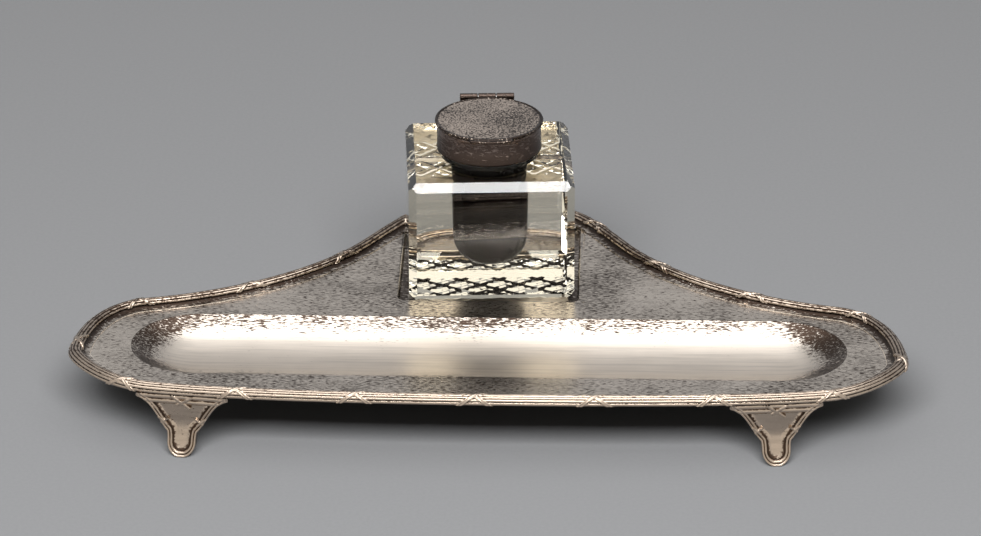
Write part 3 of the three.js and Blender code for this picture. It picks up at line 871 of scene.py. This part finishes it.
def glass_bottle():
    """The block joined to its neck, with the base's grooves and the ink-stained well cut out of it."""
    block = build("cut_glass_bottle", *bottled(square_block()), "bottle", GLASS)
    tools = {
        "neck": (lathe(neck_profile()), GLASS, "UNION"),
        "grooves": (pleat_cutter(math.radians(45)), GLASS, "DIFFERENCE"),
        "cross_grooves": (pleat_cutter(math.radians(-45)), GLASS, "DIFFERENCE"),
        "band": (plain_slab(), GLASS, "UNION"),
        "well": (lathe(well_profile()), WELL_STAIN, "DIFFERENCE"),
    }
    made = []
    for name, (shape, material, operation) in tools.items():
        tool = build(f"tool_{name}", *bottled(shape), "bottle", material)
        cut = block.modifiers.new(name, "BOOLEAN")
        cut.operation = operation
        cut.object = tool
        cut.solver = "EXACT"
        cut.material_mode = "TRANSFER"
        made.append(tool)
    shaped = block.evaluated_get(bpy.context.evaluated_depsgraph_get())
    mesh = bpy.data.meshes.new_from_object(shaped)
    block.modifiers.clear()
    block.data = mesh
    tidy(mesh, CUT_GLASS_ANGLE)
    for tool in made:
        bpy.data.objects.remove(tool)
    stands_for("glass_bottle")


# ---- collar and hinge ----

HINGE_GRIME = 0.8


def collar():
    """The silver band round the neck, with a bead at its foot and a rim turned in over the glass."""
    r, low, high = COLLAR_RADIUS, COLLAR_LOW[2], COLLAR_HIGH[2]
    wall, mouth, soft = 0.8, 12, 0.1
    bead_height, bead_depth, shoulder = 0.7, 0.12, 0.38
    inner, waist = r - wall, r - bead_depth
    profile = [(inner, low + soft), (inner + soft, low), (r - soft, low), (r, low + soft)]
    profile += [(r, low + bead_height), (waist, low + bead_height + 0.15), (waist, high - 0.5)]
    profile += arc((waist - shoulder, high - shoulder), shoulder, 0, 90, 6)
    profile += [(mouth + 0.2, high), (mouth, high - 0.2), (mouth, high - wall)]
    profile += [(inner, high - wall), (inner, low + soft)]
    vertices, faces = lathe(profile, 128)
    grime = [0.8 if z < low + 1 else 0.3 for _, _, z in vertices]
    piece = build("collar_band", to_bottle(vertices), faces, "bottle", COLLAR_SILVER, 40, grime)
    stands_for("collar")


def barrel(start, end):
    """A hinge tube along X with softened ends and the pin's hole through it."""
    bore, soft = 0.6, 0.15
    profile = [(bore, start), (BARREL_RADIUS - soft, start), (BARREL_RADIUS, start + soft)]
    profile += [(BARREL_RADIUS, end - soft), (BARREL_RADIUS - soft, end), (bore, end), (bore, start)]
    vertices, faces = lathe(profile, 40)
    return along_x(vertices), faces


def swept_plate(x, low, high, front, back):
    """A plate between two heights, from its front line to its back line."""
    corners = ((low, front), (low, back), (high, back), (high, front))
    loops = [np.stack([x, y, np.full(len(x), z)], 1) for z, y in corners]
    vertices = np.stack(loops, 1).reshape(-1, 3)
    faces = grid_faces(len(x), 4, closed_columns=True)
    faces += [(0, 1, 2, 3), tuple(len(vertices) - 4 + i for i in (3, 2, 1, 0))]
    return vertices, faces


def bent_leaf(start, end, inner, outer, low, high):
    """A plate that hugs a round wall, between two x positions."""
    x = np.linspace(start, end, 12)
    return swept_plate(x, low, high, np.sqrt(inner**2 - x * x), np.sqrt(outer**2 - x * x))


def web(start, end, inner, low, high):
    """A flat plate from a round wall back to the hinge's tube."""
    x = np.linspace(start, end, 12)
    return swept_plate(x, low, high, np.sqrt(inner**2 - x * x), np.full(len(x), HINGE_Y))


def joined(*shapes):
    """One shape made of several."""
    vertices, faces = [], []
    for some, more in shapes:
        faces += shifted(more, len(vertices))
        vertices += [tuple(v) for v in some]
    return vertices, faces


def knuckle(name, node, body, start, end, *plates):
    """One length of the hinge's tube with the plates that carry it."""
    vertices, faces = bottled(joined(barrel(start, end), *plates))
    grime = np.full(len(vertices), HINGE_GRIME)
    piece = build(name, vertices, faces, body, COLLAR_SILVER, 40, grime)
    stands_for(node)


def hinge():
    """Two knuckles on the collar, one on the lid between them, and the pin through all three."""
    inner, outer = COLLAR_RADIUS + 0.02, COLLAR_RADIUS + 0.9
    leaf_low, web_low, leaf_high = 63.5, 66.1, 67.1
    near = MIDDLE_END + 0.2
    for side, start, end in (("left", -KNUCKLE_END, -near), ("right", near, KNUCKLE_END)):
        leaf = bent_leaf(start, end, inner, outer, leaf_low, leaf_high)
        back = web(start, end, inner, web_low, leaf_high)
        knuckle(f"hinge_leaf_{side}", f"collar_knuckle_{side}", "bottle", start, end, leaf, back)
    tab = web(-MIDDLE_END, MIDDLE_END, LID_RADIUS - 0.3, LID_LOW[2] + 0.1, LID_HIGH[2])
    knuckle("lid_tab", "lid_knuckle", "lid", -MIDDLE_END, MIDDLE_END, tab)
    end = -KNUCKLE_END
    profile = [(0, end - 0.15), (0.3, end - 0.1), (0.5, end + 0.1)]
    profile += [(radius, -x) for radius, x in reversed(profile)]
    vertices, faces = lathe(profile, 32)
    pin = build("pivot_pin", to_bottle(along_x(vertices)), faces, "bottle", PIN_STEEL)
    stands_for("hinge_pin")


# ---- lid ----

def lid_disc():
    """A flat disc with a rolled edge, a fine raised rim and a sunk ring just inside that."""
    r, low, high = LID_RADIUS, LID_LOW[2], LID_HIGH[2]
    rim, ring_in, ring_out, ring_depth = 0.75, 1.15, 0.9, 0.12
    roll_centre, roll = (r - 0.4, (low + high) / 2), 0.45
    profile = [(0, low), (roll_centre[0], low), *arc(roll_centre, roll, -90, 90, 13)]
    profile += [(r - rim, high), (r - ring_out, high - ring_depth), (r - ring_in, high - ring_depth)]
    profile += [(r - 4, high - 0.05), (0, high)]
    vertices, faces = lathe(profile, 160)
    radii = np.hypot(*np.array(vertices).T[:2])
    rim_grime, ring_grime, top_grime = 0.47, 0.7, 0.05
    grime = np.where(radii > r - 0.85, rim_grime, np.where(radii > r - 1.0, ring_grime, top_grime))
    piece = build("lid_plate", to_bottle(vertices), faces, "lid", LID_SILVER, 50, grime)
    stands_for("lid_disc")


def lid_bezel():
    """The ring under the lid that drops inside the collar's mouth."""
    r = (BEZEL_HIGH - BEZEL_LOW)[0] / 2
    low, high, wall = BEZEL_LOW[2], LID_LOW[2] + 0.05, 0.6
    profile = [(r - wall, high), (r - wall, low + 0.2), (r - wall + 0.15, low), (r - 0.15, low)]
    profile += [(r, low + 0.2), (r, high), (r - wall, high)]
    vertices, faces = lathe(profile)
    piece = build("bezel_ring", to_bottle(vertices), faces, "lid", COLLAR_SILVER, 40)
    stands_for("lid_bezel")


def thumb_piece():
    """A thin lip at the front of the lid, its ends swept back into the lid in small hollows."""
    reach, end_share, sweep = 1.15, 0.16, 1.7
    half_angle = math.asin(6.9 / LID_RADIUS)
    low, high = THUMB_LOW[2] - 0.1, THUMB_HIGH[2] + 0.08
    inner, inner_round = -0.3, 0.12
    share = np.linspace(-1, 1, 81)
    swell = np.clip((1 - np.abs(share)) / end_share, 0, 1) ** sweep
    nose = arc((-0.1, (low + high) / 2), (high - low) / 2, 60, -60, 9)
    section = [(inner, high - inner_round), *nose, (inner, low + inner_round)]
    vertices, grime = [], []
    for s, w in zip(share, swell):
        angle = -math.pi / 2 + s * half_angle
        for out, z in section:
            radius = LID_RADIUS + out + w * reach * (0.35 + 0.65 * (out - inner) / 0.66)
            vertices.append((radius * math.cos(angle), radius * math.sin(angle), z))
            grime.append(0.7 - 0.3 * w)
    columns = len(section)
    faces = grid_faces(len(share), columns, closed_columns=True)
    faces += [tuple(range(columns)), tuple(range(len(vertices) - columns, len(vertices)))]
    piece = build("lid_lip", to_bottle(vertices), faces, "lid", LID_SILVER, 60, grime)
    stands_for("thumb_piece")


# ---- stage, light and camera ----

def stage():
    """The paper that the inkstand stands on. Like the lights and the camera, it is in metres."""
    half = 12.0
    corners = [(-half, -half, 0), (half, -half, 0), (half, half, 0), (-half, half, 0)]
    mesh = bpy.data.meshes.new("floor")
    mesh.from_pydata(corners, [], [(0, 1, 2, 3)])
    mesh.materials.append(pale_floor())
    floor = bpy.data.objects.new("floor", mesh)
    bpy.context.scene.collection.objects.link(floor)


def area_light(name, place, target, width, depth, radiance):
    """A rectangular light, as bright at every size, that faces a target."""
    data = bpy.data.lights.new(name, "AREA")
    data.shape = "RECTANGLE"
    data.size, data.size_y = width, depth
    data.energy = radiance * math.pi * width * depth
    light = bpy.data.objects.new(name, data)
    light.location = place
    light.rotation_euler = (Vector(target) - Vector(place)).to_track_quat("-Z", "Y").to_euler()
    bpy.context.scene.collection.objects.link(light)
    return light


def surround():
    """What the silver and glass mirror beyond the lights: warm and bright in front, dim and grey behind."""
    world = bpy.data.worlds.new("surround")
    world.use_nodes = True
    tree = world.node_tree
    place = tree.nodes.new("ShaderNodeTexCoord")
    split = tree.nodes.new("ShaderNodeSeparateXYZ")
    ramp = tree.nodes.new("ShaderNodeValToRGB")
    half = tree.nodes.new("ShaderNodeMath")
    half.operation = "MULTIPLY_ADD"
    for factor in half.inputs[1:]:
        factor.default_value = 0.5
    tree.links.new(place.outputs["Generated"], split.inputs[0])
    tree.links.new(split.outputs["Y"], half.inputs[0])
    tree.links.new(half.outputs[0], ramp.inputs["Fac"])
    tree.links.new(ramp.outputs["Color"], tree.nodes["Background"].inputs["Color"])
    near, far = ramp.color_ramp.elements
    near.position = 0.1
    near.color = (0.86, 0.83, 0.775, 1)
    far.position = 0.85
    far.color = (0.42, 0.425, 0.435, 1)
    bpy.context.scene.world = world


def studio():
    """Four lights, of which only the first two are mirrored in the silver and the glass.

    The scrim overhead gives an even shine, and the strip, small and bright, gives the sharp highlights.
    The key lights the paper from the front. The card, behind, shows through the glass and warms it.
    """
    area_light("scrim", (0, 0.11, 0.85), (0, 0.11, 0), 1.1, 0.78, 2.4)
    area_light("strip", (0.053, -0.37, 0.85), (0, 0, 0.056), 0.28, 0.11, 18)
    key = area_light("key", (0, -1.55, 1.6), (0, 0, 0), 1.85, 0.78, 67)
    key.visible_glossy = False
    key.visible_transmission = False
    card = area_light("card", (0, 1.25, 0.62), (0, 0, 0), 1.7, 0.8, 0.72)
    card.data.color = (1.0, 0.93, 0.82)
    card.visible_glossy = False
    card.visible_camera = False
    bpy.context.scene.view_settings.view_transform = "Standard"


def camera():
    """A long lens in front of the tray, well above it and a little to the right."""
    elevation, azimuth = math.radians(24.94), math.radians(1.77)
    distance = 1.66
    target = Vector((-0.0005, 0.0045, 0.0287))
    back = Vector((
        math.sin(azimuth) * math.cos(elevation),
        -math.cos(azimuth) * math.cos(elevation),
        math.sin(elevation),
    ))
    data = bpy.data.cameras.new("camera")
    data.lens = 197
    data.sensor_width = 36
    data.clip_end = 30
    cam = bpy.data.objects.new("camera", data)
    cam.location = target + back * distance
    cam.rotation_euler = (-back).to_track_quat("-Z", "Y").to_euler()
    bpy.context.scene.collection.objects.link(cam)
    bpy.context.scene.camera = cam


def finish_cad_node(node, material):
    """Gives a CAD node that stays in view its material."""
    mesh = frame["nodes"][node].data
    mesh.materials.clear()
    mesh.materials.append(material)


camera()
stage()
surround()
studio()
tray_sheet()
for side, (start, end) in BORDER_ENDS.items():
    border_length(side, start * LINE.length, end * LINE.length)
for name, share in FOOT_PLACES.items():
    foot(name, share)
glass_bottle()
collar()
hinge()
lid_disc()
lid_bezel()
thumb_piece()
finish_cad_node("ink", INK)
finish_cad_node("neck_plaster", PLASTER)
